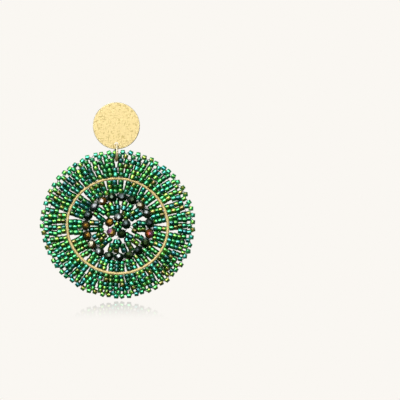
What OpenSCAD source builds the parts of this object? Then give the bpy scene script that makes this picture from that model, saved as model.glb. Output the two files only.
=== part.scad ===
// A drop earring: a hammered gold disc stud, a jump ring and a large woven
// disc of small cylinder beads round a slim gold hoop, with a ring and a
// flower of faceted beads. The front faces -Y and the ear is on the +Y side.
// The origin is on the post's axis, where the back of the stud meets the ear.

/* [Stud] */
// Diameter of the stud disc
stud_d = 15.0; // [14:0.5:16]
// Thickness of the stud disc
stud_t = 0.8; // [0.7:0.1:0.9]
// Rounding of the stud disc's edge
stud_edge = 0.2; // [0.1:0.05:0.3]
// Diameter of the hole for the jump ring
stud_hole_d = 1.2; // [1.15:0.05:1.3]
// Distance from the stud's centre to the hole
stud_hole_drop = 5.85; // [5.8:0.05:5.9]
// Diameter of the ear post
post_d = 0.8; // [0.7:0.05:0.9]
// Length of the ear post behind the disc
post_l = 10.5; // [9.5:0.5:11.5]

/* [Jump ring] */
// Diameter of the jump ring's wire
jump_wire = 0.8; // [0.7:0.05:0.8]
// Outer diameter of the jump ring
jump_d = 6.0; // [5.9:0.05:6.1]
// Turn of the jump ring away from edge-on, in degrees
jump_turn = 6.5; // [0:0.5:8]

/* [Hoop] */
// Width of the gold hoop, between wire centres
hoop_w = 32.3; // [32:0.1:32.6]
// Height of the gold hoop, between wire centres
hoop_h = 30.4; // [30.2:0.1:30.6]
// Diameter of the hoop's wire
hoop_wire = 0.9; // [0.8:0.05:0.95]
// Tilt of the hoop's longer axis, in degrees
hoop_turn = 8.7; // [0:0.1:9]
// Drop from the ear post to the hoop's centre
hoop_drop = 32.05; // [32:0.05:32.1]
// Distance that the hoop hangs to the side of the ear post
hoop_aside = 0.35; // [0.3:0.05:0.4]

/* [Woven bead bands] */
// Width of the beaded disc over its edge beads
disc_w = 49.7; // [49.6:0.1:50]
// Height of the beaded disc over its edge beads
disc_h = 47.6; // [47.4:0.1:47.7]
// Diameter of a small cylinder bead
seed_d = 1.6; // [1.5:0.05:1.65]
// Length of a small cylinder bead
seed_l = 1.2; // [1.1:0.05:1.3]
// Short rows of beads on the outside of the hoop
foot_rows = 61; // [61]
// Longer rows of beads outside those
long_rows = 70; // [70]
// Beads along the disc's edge, and as many that link them to the rows
edge_beads = 65; // [65]
// Rows of beads between the hoop and the faceted ring
middle_rows = 45; // [45]
// Rows of beads between the faceted ring and the flower
inner_rows = 22; // [22]
// Beads that close the inner rows round the flower
inner_ends = 17; // [17]

/* [Faceted beads] */
// Diameter of a faceted bead across two flats
facet_d = 2.8; // [2.7:0.05:2.8]
// Length of a faceted bead along its hole
facet_l = 2.95; // [2.85:0.05:2.95]
// Diameter of the hole through a faceted bead
facet_bore = 0.7; // [0.6:0.05:0.8]
// Number of faceted beads in the ring
ring_beads = 19; // [19]
// Width of the ring of faceted beads, between bead centres
ring_w = 20.6; // [20.5:0.1:20.7]
// Height of the ring of faceted beads, between bead centres
ring_h = 19.2; // [19.2:0.1:19.4]
// Number of faceted beads in the flower
flower_beads = 5; // [5]
// Distance from the flower's centre to its beads
flower_r = 2.85; // [2.8:0.05:2.9]
// Diameter of the thread that carries the faceted beads
thread_d = 0.24; // [0.2:0.02:0.24]

/* [Hidden] */
$fn = 48;
ROD_FN = 8;
GAP = 0.1;
RING_TURN = 7.7;
FLOWER_TURN = 7.4;
RING_SPIN = 37;
FLOWER_SPIN = 61;
CUT_SIDES = 8;
CUT_TILT = 26;
CUT_RIM = 0.80;
CUT_END = 0.4;
CUT_STEP = 360 / CUT_SIDES;
CUT_R = facet_d / 2 / cos(CUT_STEP / 2);
PLANE_Y = -stud_t / 2;
JUMP_R = (jump_d - jump_wire) / 2;
JUMP_TOP = stud_hole_drop + stud_hole_d / 2 - jump_wire / 2 - GAP;
JUMP_DROP = JUMP_TOP + JUMP_R;
JUMP_SLIT = 2;
JUMP_SLIT_TURN = 60;
JUMP_BOTTOM = JUMP_DROP + JUMP_R;
DISC_SHIFT = [0.1, 0.6];
RING_SHIFT = [0.15, -0.3];
WEB_T = 0.5;
FLOWER_SLACK = 0.15;

// How far the woven thread and each kind of row reach, as a share of the way
// from the hoop's wire to the disc's edge.
//          from  to
OUTER_WEB = [0.03, 0.74];
FOOT_ROW = [0.00, 0.33];
LONG_ROW = [0.34, 0.70];
LINK_ROW = [0.68, 0.86];

// The rows beside the jump ring stand apart for its wire, which passes through
// a window in the weave. The edge bead above it sits lower, clear of the stud.
LONG_ASIDE = 3.9;
LINK_ASIDE = 3.0;
WINDOW_W = jump_wire + 4 * GAP;
WINDOW_R = hoop_drop - JUMP_BOTTOM;
WINDOW_TURN = -atan(hoop_aside / WINDOW_R);
EDGE_DIP = 0.4;

BEAD_NAMES = [for (i = [1:ring_beads]) str("ring_bead_", i)];
PETAL_NAMES = [for (i = [1:flower_beads]) str("flower_bead_", i)];

// Distance from the centre to an ellipse of the given width and height, at a
// turn from the top.
function oval_r(w, h, turn) =
    w * h / 2 / sqrt(pow(h * sin(turn), 2) + pow(w * cos(turn), 2));
// The turn that the ellipse faces there.
function oval_facing(w, h, turn) = atan2(h * h * sin(turn), w * w * cos(turn));
// Turns that go round at an even pace, changed to go along the ellipse evenly.
function oval_evened(w, h, turn) = turn + 90 / PI * (w - h) / (w + h) * sin(2 * turn);
function hoop_r(turn) = oval_r(hoop_w, hoop_h, turn - hoop_turn);
function shift_r(shift, turn) = shift.x * sin(turn) + shift.y * cos(turn);
function disc_r(turn) =
    oval_r(disc_w, disc_h, turn - hoop_turn) + shift_r(DISC_SHIFT, turn);
function bead_ring_r(turn) = oval_r(ring_w, ring_h, turn) + shift_r(RING_SHIFT, turn);
function row_start(turn) = hoop_r(turn) + hoop_wire / 2 + GAP;
function outer_r(turn, share) =
    row_start(turn) + share * (disc_r(turn) - row_start(turn));
function middle_start(turn) = bead_ring_r(turn) + CUT_R + GAP;
function middle_end(turn) = hoop_r(turn) - hoop_wire / 2 - GAP;
function middle_r(turn, share) =
    middle_start(turn) + share * (middle_end(turn) - middle_start(turn));
// The turn of one of a count of rows, spread round from one side of the jump
// ring to the other.
function round_turn(i, count, aside) =
    WINDOW_TURN + aside + i * (360 - 2 * aside) / (count - 1);
function on_dial(r, turn) = [r * sin(turn), r * cos(turn)];

// Stands its children, drawn face up, in the plane of the beaded disc.
module in_disc_plane() {
    translate([hoop_aside, PLANE_Y, -hoop_drop]) rotate([90, 0, 0]) children();
}

// Puts its children at a turn from the top, with +Y pointing outwards.
module at_turn(r, turn) {
    rotate([0, 0, -turn]) translate([0, r, 0]) children();
}

// A straight row of beads from r1 to r2, with flats to the front and the sides.
module bead_row(r1, r2, turn) {
    at_turn(r1, turn) rotate([-90, 180 / ROD_FN, 0])
        cylinder(d = seed_d, h = r2 - r1, $fn = ROD_FN);
}

// A flat ring of woven thread that joins the rows, between two radii that are
// functions of the turn.
module web(start, end) {
    turns = [0:5:355];
    translate([0, 0, -WEB_T / 2]) linear_extrude(WEB_T) difference() {
        polygon([for (turn = turns) on_dial(end(turn), turn)]);
        polygon([for (turn = turns) on_dial(start(turn), turn)]);
    }
}

// An arc of round wire about the Z axis.
module wire_arc(r, d, start, sweep) {
    rotate([0, 0, start]) rotate_extrude(angle = sweep, $fn = 96)
        translate([r, 0]) circle(d = d);
}

// The flat disc, its edge rounded, with the post soldered to its back.
module ear_stud() {
    r = stud_d / 2;
    e = stud_edge;
    pad_r = 1.1;
    pad_t = 0.35;
    color("khaki") rotate([-90, 0, 0]) difference() {
        union() {
            translate([0, 0, -stud_t]) rotate_extrude($fn = 128) {
                square([r - e, stud_t]);
                translate([0, e]) square([r, stud_t - 2 * e]);
                translate([r - e, e]) circle(r = e);
                translate([r - e, stud_t - e]) circle(r = e);
            }
            cylinder(r = post_d / 2, h = post_l - post_d / 2);
            translate([0, 0, post_l - post_d / 2]) sphere(r = post_d / 2);
            translate([0, 0, -GAP]) cylinder(r1 = pad_r, r2 = post_d / 2, h = pad_t + GAP);
        }
        translate([0, stud_hole_drop, -2 * stud_t]) cylinder(d = stud_hole_d, h = 3 * stud_t);
    }
}

// A round wire ring, cut once at the back, that joins the stud and the disc.
module jump_ring() {
    color("goldenrod") translate([0, PLANE_Y, -JUMP_DROP])
        rotate([0, 0, jump_turn]) rotate([0, 90, 0])
        wire_arc(JUMP_R, jump_wire, JUMP_SLIT_TURN + JUMP_SLIT / 2, 360 - JUMP_SLIT);
}

// The slightly oval hoop that the woven bands are worked on.
module gold_hoop() {
    color("goldenrod") in_disc_plane() rotate([0, 0, -hoop_turn])
        oval_wire(hoop_w, hoop_h, hoop_wire);
}

// The field outside the hoop: short rows on the hoop, longer rows outside them,
// then a link bead and, across each space between two links, an edge bead.
module outer_bead_band() {
    color("seagreen") in_disc_plane() {
        difference() {
            web(function (turn) outer_r(turn, OUTER_WEB[0]), function (turn) outer_r(turn, OUTER_WEB[1]));
            translate([-hoop_aside, WINDOW_R, 0]) cube([WINDOW_W, WINDOW_W, 2 * WEB_T], center = true);
        }
        for (i = [0:foot_rows - 1]) outer_row(FOOT_ROW, i * 360 / foot_rows);
        for (i = [0:long_rows - 1]) outer_row(LONG_ROW, round_turn(i, long_rows, LONG_ASIDE));
        for (i = [0:edge_beads - 1]) outer_row(LINK_ROW, round_turn(i, edge_beads, LINK_ASIDE));
        for (i = [0:edge_beads - 2]) {
            turn = round_turn(i + 0.5, edge_beads, LINK_ASIDE);
            edge_bead(disc_r(turn) - seed_d / 2, turn);
        }
        edge_bead(disc_r(WINDOW_TURN) - seed_d / 2 - EDGE_DIP, WINDOW_TURN);
    }
}

module outer_row(reach, turn) {
    bead_row(outer_r(turn, reach[0]), outer_r(turn, reach[1]), turn);
}

module edge_bead(r, turn) {
    at_turn(r, turn) rotate([0, 90, 0])
        cylinder(d = seed_d, h = seed_l, center = true, $fn = ROD_FN);
}

// The field between the hoop and the faceted ring: rows that fan out, with the
// thread between them up to where wedges open near the hoop.
module middle_bead_band() {
    web_reach = [0.05, 0.6];
    color("mediumseagreen") in_disc_plane() {
        web(function (turn) middle_r(turn, web_reach[0]), function (turn) middle_r(turn, web_reach[1]));
        for (i = [0:middle_rows - 1]) {
            turn = i * 360 / middle_rows;
            bead_row(middle_start(turn), middle_end(turn), turn);
        }
    }
}

// The field between the faceted ring and the flower: rows of two beads, and
// single beads that close them round the flower.
module inner_bead_band() {
    step = 360 / inner_rows;
    end_r = flower_r + CUT_R + GAP;
    knot_r = end_r + seed_l;
    lap = 0.15;
    knot_w = 0.9;
    color("seagreen") in_disc_plane() {
        for (i = [0:inner_rows - 1]) {
            turn = (i + 0.5) * step;
            bead_row(knot_r - lap, bead_ring_r(turn) - CUT_R - GAP, turn);
        }
        for (i = [0:inner_ends - 1]) bead_row(end_r, knot_r + lap / 2, i * 360 / inner_ends);
        web(function (turn) knot_r - 2 * lap, function (turn) knot_r + knot_w);
    }
}

// A fire-polished bead about the X axis: eight flats round its waist, eight
// more between them on each side, eight that round each end off, and flat ends.
module cut_bead() {
    flat = facet_d / 2;
    half = facet_l / 2;
    cosine = cos(CUT_STEP / 2);
    waist = (flat - cos(CUT_TILT) * flat / cosine) / sin(CUT_TILT);
    shoulder = (flat - cos(CUT_TILT) * flat * cosine) / sin(CUT_TILT);
    rim = CUT_RIM * half;
    rim_r = (flat - sin(CUT_TILT) * rim) / cos(CUT_TILT) / cosine;
    end_r = CUT_END * flat / cosine;
    n = CUT_SIDES;
    //         along     radius         first corner, in steps
    levels = [[waist,    flat / cosine, 0.5],
              [shoulder, flat,          0.0],
              [rim,      rim_r,         0.0],
              [half,     end_r,         0.0]];
    points = [for (side = [-1, 1]) for (level = levels) for (i = [0:n - 1])
        let (turn = (i + level[2]) * CUT_STEP)
        [side * level[0], level[1] * cos(turn), level[1] * sin(turn)]];
    function at(side, level, i) = (side * len(levels) + level) * n + (i + n) % n;
    waist_flats = [for (i = [0:n - 1])
        [at(1, 0, i - 1), at(1, 1, i), at(1, 0, i), at(0, 0, i), at(0, 1, i), at(0, 0, i - 1)]];
    near_flats = [for (i = [0:n - 1])
        [at(1, 0, i), at(1, 1, i), at(1, 2, i), at(1, 2, i + 1), at(1, 1, i + 1)]];
    far_flats = [for (i = [0:n - 1])
        [at(0, 0, i), at(0, 1, i + 1), at(0, 2, i + 1), at(0, 2, i), at(0, 1, i)]];
    near_rim = [for (i = [0:n - 1]) [at(1, 2, i), at(1, 3, i), at(1, 3, i + 1), at(1, 2, i + 1)]];
    far_rim = [for (i = [0:n - 1]) [at(0, 2, i), at(0, 2, i + 1), at(0, 3, i + 1), at(0, 3, i)]];
    ends = [[for (i = [n - 1:-1:0]) at(1, 3, i)], [for (i = [0:n - 1]) at(0, 3, i)]];
    difference() {
        polyhedron(points, concat(waist_flats, near_flats, far_flats, near_rim, far_rim, ends));
        rotate([0, 90, 0]) cylinder(d = facet_bore, h = 2 * facet_l, center = true, $fn = 24);
    }
}

module ring_bead(i) {
    turn = oval_evened(ring_w, ring_h, RING_TURN + i * 360 / ring_beads);
    color("darkslategray") in_disc_plane()
        translate(RING_SHIFT) translate(on_dial(oval_r(ring_w, ring_h, turn), turn))
        rotate([0, 0, -oval_facing(ring_w, ring_h, turn)])
        rotate([i * RING_SPIN, 0, 0]) cut_bead();
}

module flower_bead(i) {
    color("darkslategray") in_disc_plane()
        at_turn(flower_r, FLOWER_TURN + i * 360 / flower_beads)
        rotate([i * FLOWER_SPIN, 0, 0]) cut_bead();
}

// A closed oval of round wire, of four arcs that meet at 45 degrees.
module oval_wire(w, h, d) {
    a = w / 2;
    b = h / 2;
    c = (a - b) * (2 + sqrt(2)) / 2;
    for (side = [0, 180]) rotate([0, 0, side]) {
        translate([c, 0, 0]) wire_arc(a - c, d, -45, 90);
        translate([0, -c, 0]) wire_arc(b + c, d, 45, 90);
    }
}

module ring_thread() {
    color("darkgreen") in_disc_plane() translate(RING_SHIFT)
        oval_wire(ring_w, ring_h, thread_d);
}

module flower_thread() {
    color("darkgreen") in_disc_plane()
        wire_arc(flower_r + FLOWER_SLACK, thread_d, 0, 360);
}

ear_stud();
jump_ring();
gold_hoop();
outer_bead_band();
middle_bead_band();
inner_bead_band();
ring_thread();
flower_thread();
for (i = [0:ring_beads - 1])
    ring_bead(i);
for (i = [0:flower_beads - 1])
    flower_bead(i);
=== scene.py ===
import math
import random

import bpy
from mathutils import Matrix, Vector


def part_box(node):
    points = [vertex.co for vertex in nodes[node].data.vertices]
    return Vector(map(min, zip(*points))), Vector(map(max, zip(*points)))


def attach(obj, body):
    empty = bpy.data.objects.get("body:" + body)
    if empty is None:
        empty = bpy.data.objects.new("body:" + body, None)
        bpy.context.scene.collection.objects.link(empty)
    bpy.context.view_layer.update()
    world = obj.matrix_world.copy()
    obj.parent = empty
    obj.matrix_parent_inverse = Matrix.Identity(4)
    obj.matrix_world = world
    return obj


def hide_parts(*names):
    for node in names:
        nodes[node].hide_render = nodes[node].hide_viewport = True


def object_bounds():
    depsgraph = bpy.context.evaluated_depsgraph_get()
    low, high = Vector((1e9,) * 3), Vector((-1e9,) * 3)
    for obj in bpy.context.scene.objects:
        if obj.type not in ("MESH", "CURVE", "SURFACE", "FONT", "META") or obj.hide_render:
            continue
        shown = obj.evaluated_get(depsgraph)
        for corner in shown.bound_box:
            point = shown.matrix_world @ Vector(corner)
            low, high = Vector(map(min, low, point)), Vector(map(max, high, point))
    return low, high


# A drop earring: a hammered gold stud, a jump ring, and a disc of beadwork that is woven on a slim
# gold hoop. The loose seed beads and their thread are made here. The front faces -Y.

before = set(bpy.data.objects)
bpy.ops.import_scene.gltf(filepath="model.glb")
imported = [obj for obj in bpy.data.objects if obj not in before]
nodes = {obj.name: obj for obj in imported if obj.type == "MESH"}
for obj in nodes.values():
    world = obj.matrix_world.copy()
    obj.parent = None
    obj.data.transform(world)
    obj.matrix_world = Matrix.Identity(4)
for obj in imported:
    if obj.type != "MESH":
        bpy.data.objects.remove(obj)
cad_low, cad_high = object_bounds()

MM = 0.001

# The small irregularities of work done by hand are drawn from here.
draw = random.Random(11)

# The model seed bead, the thread, and the reach of a faceted bead from its middle.
SEED_R = 0.94 * MM
SEED_L = 1.34 * MM
SEED_HOLE_R = 0.42 * MM
SEED_SIDES = 10
SEED_EDGE = 0.14 * MM
THREAD_R = 0.10 * MM
FACET_R = 1.46 * MM

# The tilt of the hoop, the half axes of the disc and the shift of its middle from the hoop's, and
# how far inside the disc's edge the edge beads are threaded.
HOOP_TILT = math.radians(8.7)
DISC_AXES = (24.85 * MM, 23.8 * MM)
DISC_SHIFT = (0.1 * MM, 0.6 * MM)
EDGE_INSET = 0.88 * SEED_R

# How many rows, or single beads, go round the disc.
FOOT_ROWS = 61
LONG_ROWS = 70
EDGE_BEADS = 65
MIDDLE_ROWS = 45
INNER_ROWS = 22
INNER_ENDS = 17

# Where the rows outside the hoop start, where the link beads stand, and how long a bead is, as a
# share of the way from HOOP_GAP outside the hoop's wire to the disc's edge.
HOOP_GAP = 0.10 * MM
FOOT_START = -0.02
LONG_START = 0.333
LINK_SHARE = 0.765
BEAD_SHARE = 0.1725

# Width of the beads in each kind of row, as a share of the model bead's, and the factors between
# which the widths and the lengths of single beads in a row vary.
FOOT_WIDTH = 1.03
LONG_WIDTH = 1.01
LINK_WIDTH = 0.88
EDGE_WIDTH = 0.86
MIDDLE_WIDTH = 1.0
INNER_WIDTH = 1.02
HEART_WIDTH = 0.88
WIDTHS = (0.97, 1.02)
LENGTHS = (0.96, 1.0)

# Depth: rows tuck in behind the faceted beads at one end and are set back less at the other. By
# turns they stand a little to the front and to the back, and each bead lifts a little off its row.
# UNDERLAP is how far they run in under the faceted beads, and ROW_HALF what counts as half of a
# row's width there.
TUCK = 0.85 * MM
SET_BACK = 0.45 * MM
UNDERLAP = 0.10 * MM
ROW_HALF = 0.5 * SEED_R
STAGGER = 0.28 * MM
LIFT = 0.08 * MM

# How far a bead may sway to the side of its row, and how much its hole may slant off the row's line.
OUTER_SWAY = 0.13 * MM
MIDDLE_SWAY = 0.14 * MM
INNER_SWAY = 0.22 * MM
SLANT = 0.10

# How far a row of the outer field may lean, in radians, and slip along, as a share of the way. The
# two long rows beside the jump ring lean apart, away from its wire.
FOOT_LEAN = 0.02
FOOT_SLIP = (-0.004, 0.016)
LONG_LEAN = 0.03
LONG_SLIP = (-0.016, 0.016)
RING_LEAN = 0.028

# The edge bead above the jump ring stands lower than the others, clear of the stud.
RING_EDGE_ASIDE = math.radians(1.0)
RING_EDGE_DIP = 0.4 * MM

# Turns at which the rows leave an opening beside the flower, and half the width of an opening.
FLOWER_OPENINGS = [math.radians(turn) for turn in (115, 187, 259)]
OPENING_REACH = 0.17

# The seeds in the heart of the flower, mostly behind its beads, in millimetres and degrees:
#   across  up  depth  lie
HEART_SEEDS = (
    (-0.20, 0.50, -0.10, 50),
    (-0.95, -0.55, 1.30, 125),
    (0.85, -0.35, 1.30, -35),
    (-0.85, 1.35, 1.60, 20),
    (1.00, 1.10, 1.60, -60),
    (0.10, -1.40, 1.70, 80),
)

# The photograph is 400 pixels wide at 0.32 mm a pixel, and the stud's centre is at STUD_PIXEL.
PIXEL = 0.32 * MM
FRAME_PIXELS = 400
STUD_PIXEL = (116.4, 125.8)
CAMERA_DISTANCE = 1.0
SENSOR_MM = 36.0


# The lie of the disc.


def box_of(node):
    """A node's centre and size."""
    low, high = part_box(node)
    return (low + high) / 2, high - low


def semi_axes(width, height, tilt):
    """Half axes of an ellipse that fills a box of this width and height when it is tilted."""
    c2, s2 = math.cos(tilt) ** 2, math.sin(tilt) ** 2
    x2, z2 = (width / 2) ** 2, (height / 2) ** 2
    a2 = (x2 * c2 - z2 * s2) / (c2 * c2 - s2 * s2)
    b2 = (z2 * c2 - x2 * s2) / (c2 * c2 - s2 * s2)
    return math.sqrt(a2), math.sqrt(b2)


def oval_r(axes, turn, tilt=0.0, shift=(0.0, 0.0)):
    """Distance from the centre to a tilted, slightly shifted ellipse, at a turn from the top."""
    a, b = axes
    t = turn - tilt
    r = a * b / math.hypot(b * math.sin(t), a * math.cos(t))
    return r + shift[0] * math.sin(turn) + shift[1] * math.cos(turn)


CENTRE, hoop_size = box_of("gold_hoop")
HOOP_WIRE = hoop_size.y
HOOP_AXES = semi_axes(hoop_size.x - HOOP_WIRE, hoop_size.z - HOOP_WIRE, HOOP_TILT)
thread_centre, thread_size = box_of("ring_thread")
RING_SHIFT = (thread_centre.x - CENTRE.x, thread_centre.z - CENTRE.z)
RING_AXES = (thread_size.x / 2 - THREAD_R, thread_size.z / 2 - THREAD_R)

# The turn at which the jump ring passes through the disc.
ring_low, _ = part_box("jump_ring")
JUMP_TURN = -math.atan2(CENTRE.x, ring_low.z - CENTRE.z)

RING_BEADS = [box_of(f"ring_bead_{i}")[0] for i in range(1, 20)]
FLOWER_BEADS = [box_of(f"flower_bead_{i}")[0] for i in range(1, 6)]
RING_GAPS = [(RING_BEADS[i] + RING_BEADS[i - 1]) / 2 for i in range(len(RING_BEADS))]


def hoop_r(turn):
    """Distance from the disc's centre to the middle of the hoop's wire."""
    return oval_r(HOOP_AXES, turn, HOOP_TILT)


def rim_r(turn):
    """Distance from the disc's centre to its edge."""
    return oval_r(DISC_AXES, turn, HOOP_TILT, DISC_SHIFT)


def facet_ring_r(turn):
    """Distance from the disc's centre to the ring of faceted beads."""
    return oval_r(RING_AXES, turn, 0.0, RING_SHIFT)


def dial(r, turn, y=0.0):
    """A point of the beaded disc, at a turn clockwise from the top."""
    return CENTRE + Vector((r * math.sin(turn), y, r * math.cos(turn)))


def headings(turn):
    """Which way is outwards, and which is clockwise, at a turn."""
    return dial(1.0, turn) - CENTRE, dial(1.0, turn + math.pi / 2) - CENTRE


def turn_between(turn, other):
    """How far apart two turns are."""
    return abs(math.remainder(turn - other, math.tau))


def nearest(turn, others):
    return min(others, key=lambda other: turn_between(other, turn))


def meeting_r(turn, beads, side, half_width):
    """How far out a row of this half width meets faceted beads: their outer side if side is 1,
    their inner side if it is -1."""
    out, across = headings(turn)
    meetings = []
    for bead in beads:
        aside = max(0.0, abs((bead - CENTRE).dot(across)) - half_width)
        if aside < FACET_R and (bead - CENTRE).dot(out) > 0:
            meetings.append((bead - CENTRE).dot(out) + side * math.sqrt(FACET_R ** 2 - aside ** 2))
    return max(meetings) if side > 0 else min(meetings)


# Handling of meshes.


def deselect():
    bpy.ops.object.select_all(action="DESELECT")


def only(piece):
    """Selects one piece and nothing else."""
    deselect()
    piece.select_set(True)
    bpy.context.view_layer.objects.active = piece


def object_mode():
    bpy.ops.object.mode_set(mode="OBJECT")


def select_where(piece, kind, test):
    """Leaves a piece in edit mode, with those of its vertices, edges or faces selected for
    which the test holds."""
    modes = {"vertices": "VERT", "edges": "EDGE", "polygons": "FACE"}
    bpy.ops.object.mode_set(mode="EDIT")
    bpy.ops.mesh.select_mode(type=modes[kind])
    bpy.ops.mesh.select_all(action="DESELECT")
    object_mode()
    for part in getattr(piece.data, kind):
        part.select = test(part)
    bpy.ops.object.mode_set(mode="EDIT")


def model_seed_bead():
    """One drilled cylinder bead along Z, its rims rounded, with the numbers that its glass reads."""
    deselect()
    bpy.ops.mesh.primitive_cylinder_add(vertices=SEED_SIDES, radius=SEED_R, depth=SEED_L)
    bead = bpy.context.object
    bead.name = "seed_bead"
    select_where(bead, "polygons", lambda face: abs(face.normal.z) > 0.9)
    bpy.ops.mesh.inset(thickness=SEED_R - SEED_HOLE_R, use_individual=True)
    bpy.ops.mesh.delete(type="FACE")
    bpy.ops.mesh.select_mode(type="EDGE")
    bpy.ops.mesh.select_non_manifold()
    bpy.ops.mesh.bridge_edge_loops()
    object_mode()
    vertices = bead.data.vertices

    def on_rim(edge):
        p, q = (vertices[i].co for i in edge.vertices)
        return min(p.xy.length, q.xy.length) > 0.9 * SEED_R and abs(p.z - q.z) < 0.1 * SEED_L

    select_where(bead, "edges", on_rim)
    bpy.ops.mesh.bevel(offset=SEED_EDGE, segments=2, profile=0.5)
    bpy.ops.mesh.select_all(action="SELECT")
    bpy.ops.mesh.normals_make_consistent(inside=False)
    object_mode()
    bpy.ops.object.shade_smooth_by_angle(angle=math.radians(50))
    for name, where in (("bead_nook", "POINT"), ("bead_hue", "FACE"), ("bead_light", "FACE")):
        bead.data.attributes.new(name, "FLOAT", where)
    return bead


class BeadBag:
    """Copies a model bead into many places and joins the copies into one piece."""

    def __init__(self, model):
        self.model = model
        self.copies = []

    def add(self, place, along, across=1.0, length=1.0, light=None):
        """One more bead, threaded along a direction, of a width and length that are shares of
        the model's. Its hue, and its light unless it is given, come by chance."""
        bead = self.model.copy()
        bead.data = self.model.data.copy()
        turn = Matrix.Rotation(draw.uniform(0, math.tau), 4, "Z")
        size = Matrix.Diagonal((across, across, length, 1.0))
        aim = along.to_track_quat("Z", "Y").to_matrix().to_4x4()
        bead.data.transform(Matrix.Translation(place) @ aim @ turn @ size)
        self.mark_nooks(bead.data, place, along.normalized(), across * SEED_R, length * SEED_L / 2)
        hue = draw.random()
        light = draw.random() if light is None else light
        for name, value in (("bead_hue", hue), ("bead_light", light)):
            numbers = bead.data.attributes[name].data
            numbers.foreach_set("value", [value] * len(numbers))
        bpy.context.collection.objects.link(bead)
        self.copies.append(bead)

    def mark_nooks(self, mesh, place, along, radius, reach):
        """How far each point lies round the bead's side or towards its end, where the next
        beads shade it: 0 in the open, 1 in the nook."""
        aside = along.cross(Vector((0, 1, 0))).normalized()
        nooks = []
        for vertex in mesh.vertices:
            arm = vertex.co - place
            nooks.append(max(abs(arm.dot(aside)) / radius, 0.8 * (abs(arm.dot(along)) / reach) ** 8))
        mesh.attributes["bead_nook"].data.foreach_set("value", nooks)

    def join(self, name):
        deselect()
        for bead in self.copies:
            bead.select_set(True)
        bpy.context.view_layer.objects.active = self.copies[0]
        bpy.ops.object.join()
        piece = bpy.context.object
        piece.name = name
        piece.data.name = name
        return piece


class ThreadSpool:
    """Gathers runs of beading thread and lays them as one piece."""

    def __init__(self):
        self.runs = []

    def run(self, *points, closed=False):
        self.runs.append((points, closed))

    def lay(self, name):
        deselect()
        curve = bpy.data.curves.new(name, "CURVE")
        curve.dimensions = "3D"
        curve.bevel_depth = THREAD_R
        curve.bevel_resolution = 1
        curve.use_fill_caps = True
        for points, closed in self.runs:
            spline = curve.splines.new("POLY")
            spline.points.add(len(points) - 1)
            for knot, point in zip(spline.points, points):
                knot.co = (*point, 1.0)
            spline.use_cyclic_u = closed
        piece = bpy.data.objects.new(name, curve)
        bpy.context.collection.objects.link(piece)
        only(piece)
        bpy.ops.object.convert(target="MESH")
        piece = bpy.context.object
        bpy.ops.object.shade_smooth()
        return piece


# The woven bead fields.

seed_bead = model_seed_bead()
spool = ThreadSpool()


def string_row(bag, inner, outer, count, depth, sway, across):
    """Beads that fill a row from its inner point to its outer point, each up to sway out of line;
    depth moves the row back, which leaves room for the rows beside it."""
    way = outer - inner
    pitch = way.length / count
    aside = way.cross(Vector((0, 1, 0))).normalized()
    for k in range(count):
        wobble = Vector((draw.uniform(-1, 1), draw.uniform(-1, 1), draw.uniform(-1, 1)))
        place = inner.lerp(outer, (k + 0.5) / count) + Vector((0, depth + draw.uniform(-LIFT, LIFT), 0))
        place += aside * draw.uniform(-sway, sway)
        bag.add(place, way.normalized() + SLANT * wobble, across=across * draw.uniform(*WIDTHS),
                length=pitch / SEED_L * draw.uniform(*LENGTHS))


def stagger(i):
    """Rows stand by turns a little to the front and a little to the back."""
    return STAGGER if i % 2 else -STAGGER


def evenly(count, first, spread):
    """Turns of the rows of a field, each up to a spread of steps out of its place."""
    step = math.tau / count
    return [first + (i + draw.uniform(-spread, spread)) * step for i in range(count)]


def spaced_from_ring(count, before, after, spread):
    """Turns of rows that run from one side of the jump ring round to the other."""
    first, last = JUMP_TURN + after, JUMP_TURN + math.tau - before
    step = (last - first) / (count - 1)
    between = [first + (i + draw.uniform(-spread, spread)) * step for i in range(1, count - 1)]
    return [first, *between, last]


def huddled(turns, sizes, share):
    """Turns of the rows' outer ends, which lean together in groups and leave wedges between them."""
    loose = 0.012
    leant = []
    while len(leant) < len(turns):
        group = turns[len(leant):len(leant) + draw.choice(sizes)]
        middle = sum(group) / len(group)
        leant += [turn + share * (middle - turn) + draw.uniform(-loose, loose) for turn in group]
    return leant


def at_share(turn, share):
    """A point of the outer field, at a share of the way from the hoop to the disc's edge."""
    start = hoop_r(turn) + HOOP_WIRE / 2 + HOOP_GAP
    return dial(start + share * (rim_r(turn) - start), turn)


def round_hoop(row_turn, end_turn):
    """Where the thread of a row passes behind the hoop."""
    return dial(hoop_r(row_turn), end_turn, HOOP_WIRE * 0.75)


def stitch(end):
    """Four threads from the end of a row, side by side there, that draw together in the nearest
    gap between two faceted beads."""
    gap = min(RING_GAPS, key=lambda place: (place - end).length)
    for aside in (-0.7, -0.25, 0.25, 0.7):
        across = Vector((gap.z - end.z, 0, end.x - gap.x)).normalized() * aside * SEED_R
        drawn_in = gap + across * 0.3 + Vector((0, draw.uniform(-0.2, 0.2) * MM, 0))
        spool.run(end + across, drawn_in)


def ring_of_thread(share, depth):
    """A thread that runs round the disc between two kinds of rows, and weaves to and fro."""
    points, waves = 180, 45
    turns = [math.tau * i / points for i in range(points)]
    run = [at_share(turn, share) + Vector((0, depth * math.cos(waves * turn), 0)) for turn in turns]
    spool.run(*run, closed=True)


def string_short_rows(bag, feet):
    """The short rows that stand on the hoop."""
    for i, turn in enumerate(feet):
        lean = draw.uniform(-FOOT_LEAN, FOOT_LEAN)
        start = FOOT_START + draw.uniform(*FOOT_SLIP)
        inner = at_share(turn, start)
        outer = at_share(turn + lean, start + 2 * BEAD_SHARE)
        string_row(bag, inner, outer, 2, stagger(i), OUTER_SWAY, FOOT_WIDTH)
        spool.run(round_hoop(turn, turn), inner, outer)


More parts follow.
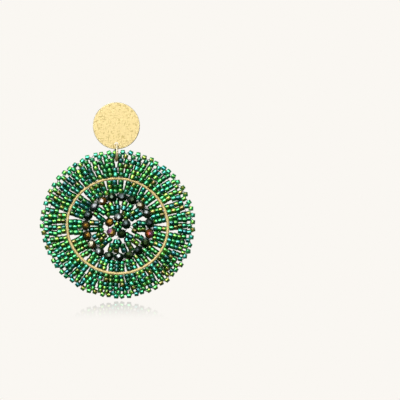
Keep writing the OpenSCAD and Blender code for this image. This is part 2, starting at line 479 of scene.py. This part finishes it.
def string_long_rows(bag, stands, feet):
    """The rows outside the short ones, from one side of the jump ring round to the other."""
    for i, turn in enumerate(stands):
        lean = draw.uniform(-LONG_LEAN, LONG_LEAN)
        start = LONG_START + draw.uniform(*LONG_SLIP)
        lean += RING_LEAN * ((i == 0) - (i == LONG_ROWS - 1))
        inner = at_share(turn - lean / 2, start)
        outer = at_share(turn + lean / 2, start + 2 * BEAD_SHARE)
        string_row(bag, inner, outer, 2, stagger(i), OUTER_SWAY, LONG_WIDTH)
        spool.run(at_share(nearest(turn, feet), LONG_START), inner, outer)


def add_link_beads(bag, links, stands):
    """The single beads between the long rows and the edge beads, threaded outwards."""
    slant, slip = 0.25, 0.015
    long_rows_end = 0.67
    for turn in links:
        tilt = draw.uniform(-slant, slant)
        place = at_share(turn, LINK_SHARE + draw.uniform(-slip, slip))
        out, across = headings(turn)
        bag.add(place, out + across * tilt, across=LINK_WIDTH, length=draw.uniform(0.98, 1.04))
        spool.run(at_share(nearest(turn, stands), long_rows_end), place)


def add_edge_beads(bag, links):
    """A bead across each space between two links, coloured lighter as painted light, since it is well lit.
    The last is above the jump ring.
    """
    slip, slant, nod = 0.14, 0.35, 0.2
    thread_share = LINK_SHARE + 0.08
    for i, before in enumerate(links):
        after = links[(i + 1) % len(links)]
        gap = (after - before) % math.tau
        turn = before + gap / 2 + draw.uniform(-slip, slip) * gap
        r = rim_r(turn) - EDGE_INSET + draw.uniform(-0.25, 0.18) * MM
        if i == len(links) - 1:
            turn = JUMP_TURN - RING_EDGE_ASIDE
            r -= RING_EDGE_DIP
        out, across = headings(turn)
        way = across + out * draw.uniform(-slant, slant) + Vector((0, draw.uniform(-nod, nod), 0))
        place = dial(r, turn, draw.uniform(-0.12, 0.12) * MM)
        # Painted light: the edge beads' higher light numbers make their colour lighter.
        bag.add(place, way, across=EDGE_WIDTH, length=draw.uniform(0.94, 1.02),
                light=0.65 + 0.50 * draw.random())
        half = way.normalized() * SEED_L * 0.55
        spool.run(at_share(before, thread_share), place - half, place + half, at_share(after, thread_share))


def weave_outer_field():
    """Short rows on the hoop, longer rows outside them, then linking beads with an edge
    bead across each space between two of them."""
    bag = BeadBag(seed_bead)
    feet = evenly(FOOT_ROWS, first=0.07, spread=0.14)
    string_short_rows(bag, feet)
    stands = spaced_from_ring(LONG_ROWS, before=math.radians(4.0), after=math.radians(3.8), spread=0.13)
    links = spaced_from_ring(EDGE_BEADS, before=math.radians(3.2), after=math.radians(2.7), spread=0.14)
    string_long_rows(bag, stands, feet)
    for share, depth in ((0.34, 0.3 * MM), (0.34, -0.3 * MM), (0.68, 0.3 * MM)):
        ring_of_thread(share, depth)
    add_link_beads(bag, links, stands)
    add_edge_beads(bag, links)
    return bag.join("outer_seed_beads")


def weave_middle_field():
    """Rows of three between the hoop and the ring of faceted beads."""
    bag = BeadBag(seed_bead)
    turns = evenly(MIDDLE_ROWS, first=0.08, spread=0.12)
    outer_turns = huddled(turns, sizes=(1, 2, 3, 4), share=0.13)
    for i, (turn, outer_turn) in enumerate(zip(turns, outer_turns)):
        start = meeting_r(turn, RING_BEADS, 1, ROW_HALF) - UNDERLAP
        inner = dial(start, turn, TUCK)
        outer = dial(hoop_r(turn) - HOOP_WIRE / 2, outer_turn, SET_BACK)
        string_row(bag, inner, outer, 3, stagger(i), MIDDLE_SWAY, MIDDLE_WIDTH)
        spool.run(inner, outer, round_hoop(turn, outer_turn))
        stitch(inner)
    return bag.join("middle_seed_beads")


def inner_row_start(turn):
    """How far out the rows of two start, inside the ring of faceted beads."""
    return facet_ring_r(turn) - FACET_R - 2.0 * SEED_L


def string_inner_rows(bag):
    """Rows of two just inside the ring of faceted beads."""
    turns = evenly(INNER_ROWS, first=0.30, spread=0.10)
    outer_turns = huddled(turns, sizes=(2, 2, 3), share=0.16)
    for i, (turn, outer_turn) in enumerate(zip(turns, outer_turns)):
        end = meeting_r(turn, RING_BEADS, -1, ROW_HALF) + UNDERLAP
        inner, outer = dial(inner_row_start(turn), turn, SET_BACK), dial(end, outer_turn, TUCK)
        string_row(bag, inner, outer, 2, stagger(i), INNER_SWAY, INNER_WIDTH)
        spool.run(inner, outer)
        stitch(outer)


def close_round_flower(bag):
    """The beads that lead the inner rows to the flower, fewer where it shows an opening."""
    for i, turn in enumerate(evenly(INNER_ENDS, first=0.0, spread=0.15)):
        outer_r = inner_row_start(turn)
        inner_r = meeting_r(turn, FLOWER_BEADS, 1, 0.7 * SEED_R)
        by_opening = min(turn_between(turn, opening) for opening in FLOWER_OPENINGS) < OPENING_REACH
        count = 1 if by_opening else max(1, round((outer_r - inner_r) / SEED_L))
        outer = dial(outer_r, turn, SET_BACK)
        inner = dial(outer_r - count * SEED_L, turn + draw.uniform(-0.12, 0.12), TUCK)
        string_row(bag, inner, outer, count, stagger(i), INNER_SWAY, INNER_WIDTH)
        spool.run(outer, inner, min(FLOWER_BEADS, key=lambda bead: (bead - inner).length))


def weave_inner_field():
    """The rows between the faceted ring and the flower, and the seeds in the flower's heart."""
    bag = BeadBag(seed_bead)
    string_inner_rows(bag)
    close_round_flower(bag)
    for x, z, depth, angle in HEART_SEEDS:
        way = Vector((math.cos(math.radians(angle)), 0, math.sin(math.radians(angle))))
        bag.add(CENTRE + Vector((x, depth, z)) * MM, way, across=HEART_WIDTH)
    return bag.join("inner_seed_beads")


outer_beads = weave_outer_field()
middle_beads = weave_middle_field()
inner_beads = weave_inner_field()
beading_thread = spool.lay("beading_thread")
bpy.data.objects.remove(seed_bead)


# Shader nodes.


class Value:
    """A socket that adds its maths nodes as it is used in an expression."""

    def __init__(self, paint, socket):
        self.paint = paint
        self.socket = socket

    def _maths(self, operation, *terms):
        return self.paint.node("ShaderNodeMath", {"operation": operation}, dict(enumerate(terms)))

    def __add__(self, other):
        return self._maths("ADD", self, other)

    def __radd__(self, other):
        return self._maths("ADD", other, self)

    def __sub__(self, other):
        return self._maths("SUBTRACT", self, other)

    def __rsub__(self, other):
        return self._maths("SUBTRACT", other, self)

    def __mul__(self, other):
        return self._maths("MULTIPLY", self, other)

    def __rmul__(self, other):
        return self._maths("MULTIPLY", other, self)

    def least(self, other):
        return self._maths("MINIMUM", self, other)

    def most(self, other):
        return self._maths("MAXIMUM", self, other)

    def clamped(self):
        return self.paint.node("ShaderNodeMath", {"operation": "ADD", "use_clamp": True}, {0: self, 1: 0.0})

    def output(self, name):
        """Another output of the node that this value comes from."""
        return Value(self.paint, self.socket.node.outputs[name])


class Nodes:
    """The shader nodes of a material or of the world."""

    def __init__(self, owner, start_bare=True):
        owner.use_nodes = True
        self.tree = owner.node_tree
        if start_bare:
            self.tree.nodes.clear()

    def node(self, kind, settings=None, values=None, out=0):
        """Any node: its settings, then the values or links of its sockets."""
        made = self.tree.nodes.new(kind)
        for key, value in (settings or {}).items():
            if key == "stops":
                self._set_stops(made.color_ramp, value)
            else:
                setattr(made, key, value)
        for key, value in (values or {}).items():
            self.feed(made.inputs[key], value)
        return Value(self, made.outputs[out]) if made.outputs else None

    def _set_stops(self, ramp, stops):
        while len(ramp.elements) < len(stops):
            ramp.elements.new(1.0)
        for element, (position, colour) in zip(ramp.elements, stops):
            element.position = position
            element.color = (*colour, 1.0)

    def feed(self, socket, value):
        if isinstance(value, Value):
            self.tree.links.new(value.socket, socket)
        else:
            socket.default_value = value

    def span(self, value, low, high, shape="LINEAR"):
        """0 where the value is low, 1 where it is high."""
        return self.node("ShaderNodeMapRange", {"interpolation_type": shape}, {
            "Value": value, "From Min": low, "From Max": high})

    def place(self, coordinates="Object"):
        return self.node("ShaderNodeTexCoord", out=coordinates)

    def split(self, vector):
        parts = self.node("ShaderNodeSeparateXYZ", None, {0: vector})
        return [parts.output(axis) for axis in "XYZ"]

    def light_path(self, kind):
        return self.node("ShaderNodeLightPath", out=kind)

    def shaders(self, factor, first, second):
        return self.node("ShaderNodeMixShader", None, {0: factor, 1: first, 2: second})


class Paint(Nodes):
    """A procedural material, built from one Principled shader."""

    def __init__(self, name, **settings):
        self.material = bpy.data.materials.new(name)
        super().__init__(self.material, start_bare=False)
        self.shader = next(n for n in self.tree.nodes if n.type == "BSDF_PRINCIPLED")
        self.set(**settings)

    def set(self, **inputs):
        for socket, value in inputs.items():
            self.feed(self.shader.inputs[socket.replace("_", " ")], value)

    def noise(self, scale, detail=2.0, roughness=0.5, vector=None):
        return self.node("ShaderNodeTexNoise", None, {
            "Vector": vector or self.place(), "Scale": scale, "Detail": detail, "Roughness": roughness})

    def number(self, name):
        """A number that the mesh carries."""
        return self.node("ShaderNodeAttribute", {"attribute_name": name}, out="Fac")

    def ramp(self, factor, stops):
        return self.node("ShaderNodeValToRGB", {"stops": stops}, {"Fac": factor})

    def mix(self, factor, first, second, blend="MIX"):
        return self.node("ShaderNodeMix", {"data_type": "RGBA", "blend_type": blend},
                         {0: factor, 6: first, 7: second}, out=2)

    def bump(self, height, strength, distance):
        return self.node("ShaderNodeBump", None, {
            "Height": height, "Strength": strength, "Distance": distance})


# Finishes.


def seed_glass():
    """Emerald glass with a rainbow lustre that differs from bead to bead, with painted shade at each
    bead's sides and ends, but a painted glow there in the beads of the disc's edge, which stand in the
    open."""
    paint = Paint("seed_glass", Roughness=0.32, Coat_Roughness=0.14, Coat_IOR=1.8)
    drift = paint.noise(1000.0, detail=0.0)
    pick = (paint.number("bead_hue") + (drift - 0.5) * 1.1).clamped()
    hue = paint.ramp(pick, [
        (0.00, (0.022, 0.160, 0.180)),
        (0.12, (0.030, 0.310, 0.260)),
        (0.35, (0.035, 0.400, 0.190)),
        (0.60, (0.055, 0.430, 0.095)),
        (0.80, (0.120, 0.420, 0.050)),
        (0.92, (0.300, 0.420, 0.050)),
        (1.00, (0.200, 0.150, 0.030)),
    ])
    # Painted shade: towards each bead's sides and ends, where the next beads shade it, the colour turns
    # dark green.
    nook = paint.span(paint.number("bead_nook"), 0.30, 0.90, "SMOOTHSTEP")
    # Each bead's tone varies at random; the higher numbers of the edge beads are painted light.
    shade = paint.number("bead_light") * 1.2 + 0.52
    grey = paint.node("ShaderNodeCombineColor", None, {0: shade, 1: shade, 2: shade})
    lit = paint.mix(1.0, hue, grey, "MULTIPLY")
    x, _, z = paint.split(paint.place())
    across, up = (x - CENTRE.x) * (1 / DISC_AXES[0]), (z - CENTRE.z) * (1 / DISC_AXES[1])
    # Painted glow: in the beads of the disc's edge those shaded places take a lighter green, and less
    # metal, for the light that passes through them; elsewhere they take dark green as painted shade.
    edge_from, edge_to = 0.84, 0.90
    painted_edge_glow = paint.span(across * across + up * up, edge_from, edge_to)
    deep = paint.mix(painted_edge_glow, (0.008, 0.170, 0.025, 1.0), (0.040, 0.420, 0.130, 1.0))
    paint.set(Base_Color=paint.mix(nook, lit, deep),
              Metallic=0.85 - nook * painted_edge_glow * 0.65,
              Coat_Weight=(1.0 - nook) * 0.5)
    return paint.material


# The faceted beads are near-black green glass. The lustre of their front facets, and the painted
# highlight in it, start and are full at these shares of the way from the bead's middle to its side.
BODY = (0.004, 0.016, 0.006)
FRONT = (0, -1, 0)
FRONT_ZONE = (0.50, 0.90)
PAINTED_GLINT_ZONE = (0.76, 0.92)


def cut_glass(name, coat, painted_glint_and_lustre, aim):
    """Near-black green glass with a metal lustre on its front facets, brighter where aim points: a
    painted highlight there, partly a second lustre colour.
    """
    paint = Paint(name, Coat_Weight=0.15, Coat_Roughness=0.06)
    centre, size = box_of(name)
    offset = paint.node("ShaderNodeVectorMath", {"operation": "SUBTRACT"}, {0: paint.place(), 1: centre})
    cloud = (paint.noise(500.0, detail=0.0) - 0.5) * 0.4
    zones = []
    for direction, zone in ((FRONT, FRONT_ZONE), (aim, PAINTED_GLINT_ZONE)):
        reach = paint.node("ShaderNodeVectorMath", {"operation": "DOT_PRODUCT"},
                           {0: offset, 1: Vector(direction).normalized() / (size.y / 2)}, out="Value")
        zones.append(paint.span(reach + cloud, *zone))
    front, spot = zones
    # The colour where aim points is a painted highlight, partly a second lustre colour.
    lustre = paint.mix(spot, (*coat, 1.0), (*painted_glint_and_lustre, 1.0))
    paint.set(Base_Color=paint.mix(front, (*BODY, 1.0), lustre),
              Metallic=front * 0.9,
              Roughness=front * 0.33 + 0.09)
    return paint.material


def satin_gold(name, colour, deep, roughness, metallic, fade=None):
    """Plated gold wire, drawn and a little uneven; or, where fade gives two heights, of the deep
    colour at the first, as painted shade, and the pale one at the second, as a painted highlight."""
    paint = Paint(name, Metallic=metallic)
    worn = paint.noise(420.0, detail=2.0)
    # With fade the colour is painted light and shade, deep below and pale above; without it, the tone
    # varies at random as worn plating does.
    light = paint.span(paint.split(paint.place())[2], *fade) if fade else worn
    paint.set(Base_Color=paint.mix(light, (*deep, 1.0), (*colour, 1.0)),
              Roughness=worn * 0.12 + (roughness - 0.06))
    return paint.material


def hammered_gold():
    """Matt pale gold, scored by short fine lines across and down, and paler at its edge as painted light.
    """
    paint = Paint("stud_gold")
    rim_from, rim_to = 0.0072, 0.0074
    x, _, z = paint.split(paint.place())
    # Painted light: the stud's outer edge is coloured paler than its face, and is less metallic.
    painted_rim_light = paint.span(x * x + z * z, rim_from ** 2, rim_to ** 2)
    close, wide = 2600.0, 700.0
    scores = []
    for across, along, slice_y in ((close, wide, 0.0), (wide, close, 7.0)):
        where = paint.node("ShaderNodeCombineXYZ", None, {0: x * across, 1: slice_y, 2: z * along})
        scores.append(paint.noise(1.0, detail=1.0, vector=where))
    score = scores[0].least(scores[1])
    cloud = paint.noise(900.0, detail=3.0, roughness=0.6)
    line = paint.span(score, 0.30, 0.42)
    patch = paint.span(cloud, 0.35, 0.65)
    ground = paint.mix(patch, (0.76, 0.61, 0.29, 1.0), (0.84, 0.68, 0.33, 1.0))
    scored = paint.mix(line, (0.50, 0.39, 0.14, 1.0), ground)
    paint.set(Base_Color=paint.mix(painted_rim_light, scored, (0.98, 0.82, 0.44, 1.0)),
              Metallic=0.8 - painted_rim_light * 0.4,
              Roughness=cloud * 0.2 + 0.42,
              Normal=paint.bump(score, 0.5, 0.00002))
    return paint.material


def thread_finish():
    """Dark green twisted beading thread."""
    paint = Paint("thread", Roughness=0.6)
    twist = paint.noise(4200.0, detail=2.0)
    paint.set(Base_Color=paint.ramp(twist, [(0.3, (0.004, 0.030, 0.018)), (0.7, (0.010, 0.075, 0.040))]),
              Normal=paint.bump(twist, 0.5, 0.00004))
    return paint.material


def clothe(piece, material):
    """Puts one material on the whole of a piece."""
    piece.data.materials.clear()
    piece.data.materials.append(material)


def paint_node(name, material):
    for place in nodes[name].material_slots:
        place.material = material


glass = seed_glass()
thread = thread_finish()
for field in (outer_beads, middle_beads, inner_beads):
    clothe(field, glass)
clothe(beading_thread, thread)
paint_node("ring_thread", thread)
paint_node("flower_thread", thread)
paint_node("ear_stud", hammered_gold())
# The jump ring's colour is painted: pale at its top as a highlight, deep orange lower down as shade.
paint_node("jump_ring", satin_gold("link_gold", (1.00, 0.90, 0.64), (1.00, 0.54, 0.16),
                                   roughness=0.44, metallic=0.48, fade=(-0.0120, -0.0075)))
paint_node("gold_hoop", satin_gold("hoop_gold", (1.00, 0.78, 0.34), (0.98, 0.72, 0.30),
                                   roughness=0.50, metallic=0.20))

# The faceted beads' lustres; the second is partly a painted highlight, partly a second lustre colour:
#   coat                    painted highlight   where it lies
LUSTRES = {
    "pearl": ((0.040, 0.055, 0.035), (0.64, 0.70, 0.70), (-0.35, -1, 0.35)),
    "mist": ((0.012, 0.024, 0.012), (0.22, 0.28, 0.29), (-0.10, -1, 0.35)),
    "moss": ((0.006, 0.018, 0.003), (0.04, 0.08, 0.020), (0.10, -1, 0.25)),
    "dusk": ((0.005, 0.015, 0.005), (0.10, 0.15, 0.10), (-0.15, -1, 0.30)),
    "smoke": ((0.005, 0.014, 0.006), (0.20, 0.27, 0.27), (-0.25, -1, 0.30)),
    "night": ((0.004, 0.010, 0.005), (0.56, 0.62, 0.62), (-0.10, -1, 0.15)),
    "lilac": ((0.050, 0.060, 0.070), (0.90, 0.93, 1.00), (-0.10, -1, 0.30)),
    "cream": ((0.140, 0.095, 0.015), (1.00, 0.93, 0.68), (-0.25, -1, 0.30)),
    "amber": ((0.100, 0.045, 0.005), (0.85, 0.45, 0.07), (0.25, -1, 0.05)),
    "flame": ((0.420, 0.100, 0.015), (0.52, 0.18, 0.32), (0.45, -1, 0.00)),
    "plum": ((0.420, 0.270, 0.050), (0.36, 0.12, 0.28), (-0.55, -1, 0.45)),
    "ember": ((0.420, 0.170, 0.020), (0.95, 0.95, 0.92), (-0.35, -1, 0.10)),
}

# The ring's and the flower's lustres, clockwise from the top.
RING_LUSTRES = ("mist", "moss", "cream", "pearl", "smoke", "flame", "moss", "smoke", "moss", "night",
                "dusk", "pearl", "cream", "amber", "amber", "smoke", "lilac", "ember", "dusk")
FLOWER_LUSTRES = ("night", "smoke", "moss", "plum", "amber")
for beads, lustres in (("ring_bead", RING_LUSTRES), ("flower_bead", FLOWER_LUSTRES)):
    for number, lustre in enumerate(lustres, start=1):
        name = f"{beads}_{number}"
        paint_node(name, cut_glass(name, *LUSTRES[lustre]))


# What rides where.

for field, node in ((outer_beads, "outer_bead_band"), (middle_beads, "middle_bead_band"),
                    (inner_beads, "inner_bead_band")):
    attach(field, "drop")
    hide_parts(node)
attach(beading_thread, "drop")


# The table, the paper round it, the lights and the camera.

PAPER = (0.956, 0.930, 0.888)
FELT_LIGHT = (0.030, 0.038, 0.034)
FLOOR_GAP = 0.45 * MM
FLOOR_SIZE = 6.0
GLOSS = 0.34

# The softboxes all aim at the middle of the piece:
#   name           place                  width  power
SOFTBOXES = (
    ("key", (-0.12, -0.60, 0.26), 0.46, 3.7),
    ("front", (0.16, -0.85, -0.04), 0.50, 0.7),
    ("left_strip", (-0.60, -0.45, -0.02), 0.16, 0.3),
    ("right_strip", (0.55, -0.50, 0.14), 0.16, 0.3),
    ("top", (-0.08, -0.22, 0.75), 0.40, 1.2),
    ("rear", (-0.25, 0.80, 0.35), 0.50, 2.2),
)


def pale_floor():
    """A pale table just under the drop, glossy in front of it, where it mirrors the drop faintly
    in a view that grazes the table."""
    deselect()
    bpy.ops.mesh.primitive_plane_add(size=FLOOR_SIZE, location=(0, 0, cad_low.z - FLOOR_GAP))
    floor = bpy.context.object
    floor.name = "floor"
    material = bpy.data.materials.new("floor")
    paint = Nodes(material)
    x, y, _ = paint.split(paint.place())
    facing = paint.node("ShaderNodeLayerWeight", None, {"Blend": 0.5}, out="Facing")
    grazing = paint.span(facing, 0.925, 0.948)
    lengthwise = paint.span(y, -0.17, 0.01, "SMOOTHSTEP") * paint.span(y, 0.015, 0.003)
    crosswise = paint.span(x * x, 0.0012, 0.0008)
    glossy = lengthwise * crosswise * grazing
    unlit = paint.node("ShaderNodeEmission", None, {"Strength": 0.0})
    glow = paint.node("ShaderNodeEmission", None, {"Color": (*PAPER, 1.0)})
    seen = paint.shaders(paint.light_path("Is Camera Ray"), unlit, glow)
    gloss = paint.node("ShaderNodeBsdfGlossy", None, {"Color": (1.0, 1.0, 1.0, 1.0), "Roughness": 0.03})
    surface = paint.shaders(glossy * GLOSS, seen, gloss)
    paint.node("ShaderNodeOutputMaterial", None, {"Surface": surface})
    clothe(floor, material)


def paper_world():
    """White paper wherever the camera looks. The piece itself is lit by that paper only through a
    round window straight behind it, and by dark felt all round."""
    world = bpy.data.worlds.new("paper")
    bpy.context.scene.world = world
    paint = Nodes(world)
    _, y, _ = paint.split(paint.place("Generated"))
    window = paint.span(y, math.cos(math.radians(13)), math.cos(math.radians(9)))
    felt = paint.node("ShaderNodeBackground", None, {"Color": (*FELT_LIGHT, 1.0)})
    seen = paint.node("ShaderNodeBackground", None, {"Color": (*PAPER, 1.0)})
    surface = paint.shaders(window.most(paint.light_path("Is Camera Ray")), felt, seen)
    paint.node("ShaderNodeOutputWorld", None, {"Surface": surface})


def softbox(name, place, aim, width, power):
    """A square softbox that the camera doesn't see."""
    light = bpy.data.lights.new(name, "AREA")
    light.shape = "RECTANGLE"
    light.size = light.size_y = width
    light.energy = power
    lamp = bpy.data.objects.new(name, light)
    bpy.context.collection.objects.link(lamp)
    lamp.location = place
    lamp.rotation_mode = "QUATERNION"
    lamp.rotation_quaternion = (Vector(aim) - Vector(place)).to_track_quat("-Z", "Y")
    lamp.visible_camera = False


def photograph_camera():
    """The photograph's straight view from the front, with the stud at its pixel."""
    camera_data = bpy.data.cameras.new("camera")
    camera = bpy.data.objects.new("camera", camera_data)
    bpy.context.collection.objects.link(camera)
    half = FRAME_PIXELS / 2
    camera.location = (
        (half - STUD_PIXEL[0]) * PIXEL,
        -CAMERA_DISTANCE,
        -(half - STUD_PIXEL[1]) * PIXEL,
    )
    camera.rotation_euler = (math.pi / 2, 0, 0)
    camera_data.sensor_width = SENSOR_MM
    camera_data.lens = SENSOR_MM * CAMERA_DISTANCE / (FRAME_PIXELS * PIXEL)
    bpy.context.scene.camera = camera


pale_floor()
paper_world()
middle_of_all = (cad_low + cad_high) / 2
for name, place, width, power in SOFTBOXES:
    softbox(name, place, middle_of_all, width, power)
photograph_camera()
bpy.context.scene.view_settings.view_transform = "Standard"
